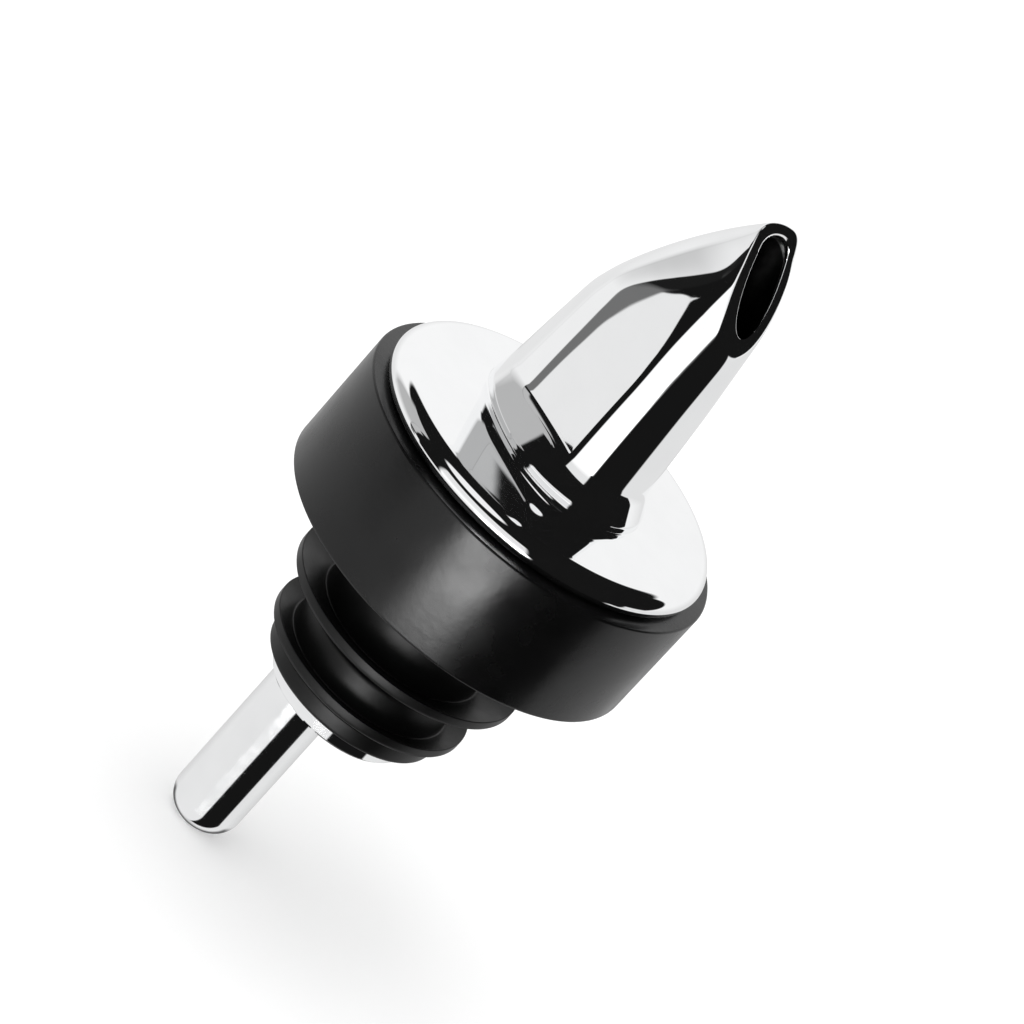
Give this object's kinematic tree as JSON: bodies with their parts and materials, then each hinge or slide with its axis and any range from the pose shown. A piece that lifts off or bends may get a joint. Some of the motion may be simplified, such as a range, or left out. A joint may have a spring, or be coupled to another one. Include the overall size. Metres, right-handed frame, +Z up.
{
  "type": "liquor pourer",
  "caption": "Free-flow bottle pourer: a plated spout with flange, stem and breather tube turns in a skirted collar and pulls out of a finned stopper that seals in the bottle's neck.",
  "frame": {"origin": "centre of the upper sealing fin's rim, where the stopper grips the bottle's neck", "axes": "+Z up out of the bottle along the stem's axis, +X the way the spout's mouth faces, so the XZ plane is the spout's plane of symmetry"},
  "size_m": [0.0352, 0.0352, 0.0789],
  "materials": {
    "plated_casting": "bright plated casting",
    "plated_tube": "bright plated tube",
    "collar_plastic": "satin black moulding",
    "stopper_plastic": "smooth black flexible moulding"
  },
  "bodies": {
    "stopper": {"stopper": "stopper_plastic"},
    "collar": {"collar": "collar_plastic"},
    "spout": {"spout_body": "plated_casting", "breather_tube": "plated_tube"}
  },
  "joints": [
    {"name": "pull_off", "type": "slide", "parent": "stopper", "child": "collar", "axis": [0, 0, 1], "range_m": [0, 0.048]},
    {"name": "spout_turn", "type": "hinge", "parent": "collar", "child": "spout", "pos_m": [0, 0, 0.0186], "axis": [0, 0, 1], "continuous": true}
  ]
}
